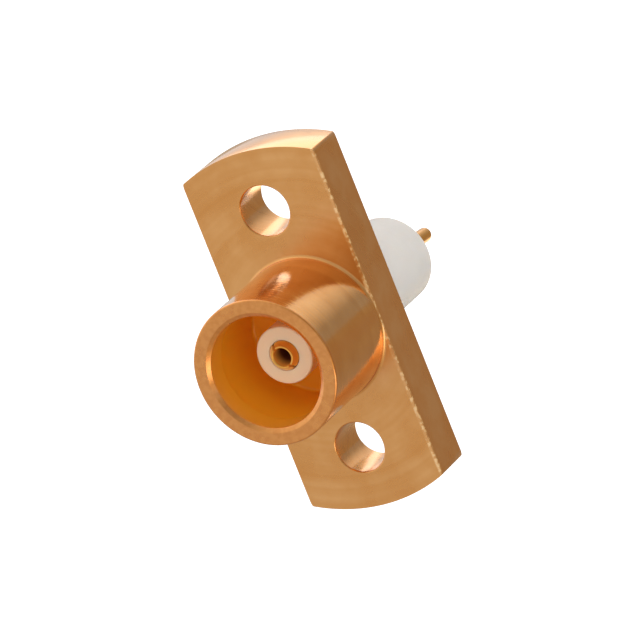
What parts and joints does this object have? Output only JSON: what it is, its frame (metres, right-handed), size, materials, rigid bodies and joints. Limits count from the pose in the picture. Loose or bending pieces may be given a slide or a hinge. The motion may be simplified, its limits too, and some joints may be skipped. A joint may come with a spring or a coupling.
{
  "type": "mcx panel jack with a two-hole flange",
  "caption": "Coaxial panel jack: round socket barrel on a two-hole flange, white stub insulator and solder post behind.",
  "frame": {"origin": "centre of the flange's rear mounting face, on the connector axis, midway between the two screw holes", "axes": "-Y out of the mouth that takes the plug, +Y out of the panel side with the solder post, +Z along the flange through the screw holes, +X across the flange"},
  "size_m": [0.005, 0.0133, 0.0126],
  "materials": {
    "gold_plated_brass": "satin, turned and milled, gold plated",
    "white_insulator": "waxy matte fluoropolymer",
    "gold_plated_contact": "smooth, gold plated"
  },
  "bodies": {
    "root": {"body": "gold_plated_brass", "insulator": "white_insulator", "contact": "gold_plated_contact"}
  },
  "joints": []
}
